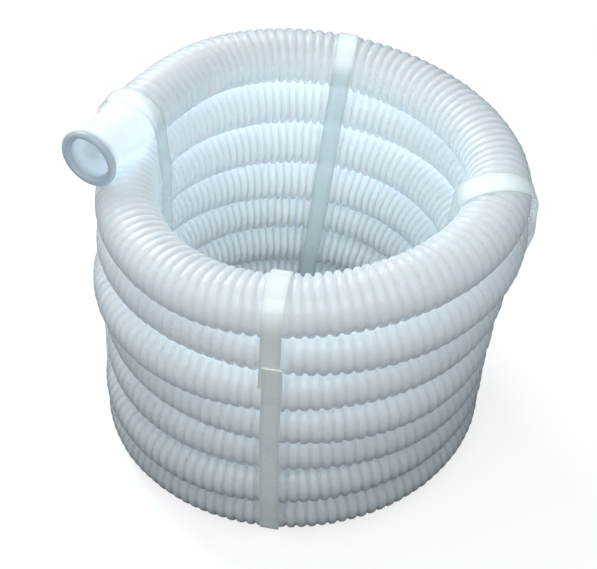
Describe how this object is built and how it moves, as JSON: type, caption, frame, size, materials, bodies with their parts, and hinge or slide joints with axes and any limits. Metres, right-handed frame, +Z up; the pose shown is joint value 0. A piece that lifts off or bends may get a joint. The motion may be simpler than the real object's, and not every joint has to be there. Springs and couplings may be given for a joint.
{
  "type": "vacuum hose, coiled",
  "caption": "Milky corrugated vacuum hose for pools and spas, wound in a coil and tied with flat bands, with a soft swivel cuff on each end.",
  "frame": {"origin": "middle of the bundle's box, at the floor the bands stand on", "axes": "+Z up the coil, away from the floor; the upper cuff points to -X and -Y"},
  "size_m": [0.3652, 0.4053, 0.3554],
  "materials": {
    "hose_wall": "milky translucent EVA, satin",
    "cuff_soft": "milky translucent EVA, smooth satin",
    "collar_hard": "moulded, smooth",
    "seal": "matt",
    "band_plastic": "pale, glossy"
  },
  "bodies": {
    "coil": {"hose": "hose_wall", "upper_cuff_collar": "collar_hard", "upper_cuff_seal_ring": "seal", "lower_cuff_collar": "collar_hard", "lower_cuff_seal_ring": "seal", "front_band": "band_plastic", "right_band": "band_plastic", "back_band": "band_plastic", "left_band": "band_plastic"},
    "upper_cuff": {"upper_swivel_cuff": "cuff_soft"},
    "lower_cuff": {"lower_swivel_cuff": "cuff_soft"}
  },
  "joints": [
    {"name": "upper_cuff_swivel", "type": "hinge", "parent": "coil", "child": "upper_cuff", "pos_m": [-0.12019, -0.00212, 0.3299], "axis": [-0.5243, -0.8515, 0.0138], "continuous": true},
    {"name": "lower_cuff_swivel", "type": "hinge", "parent": "coil", "child": "lower_cuff", "pos_m": [-0.10801, 0.13715, 0.02863], "axis": [0.3943, 0.9189, -0.0138], "continuous": true}
  ]
}
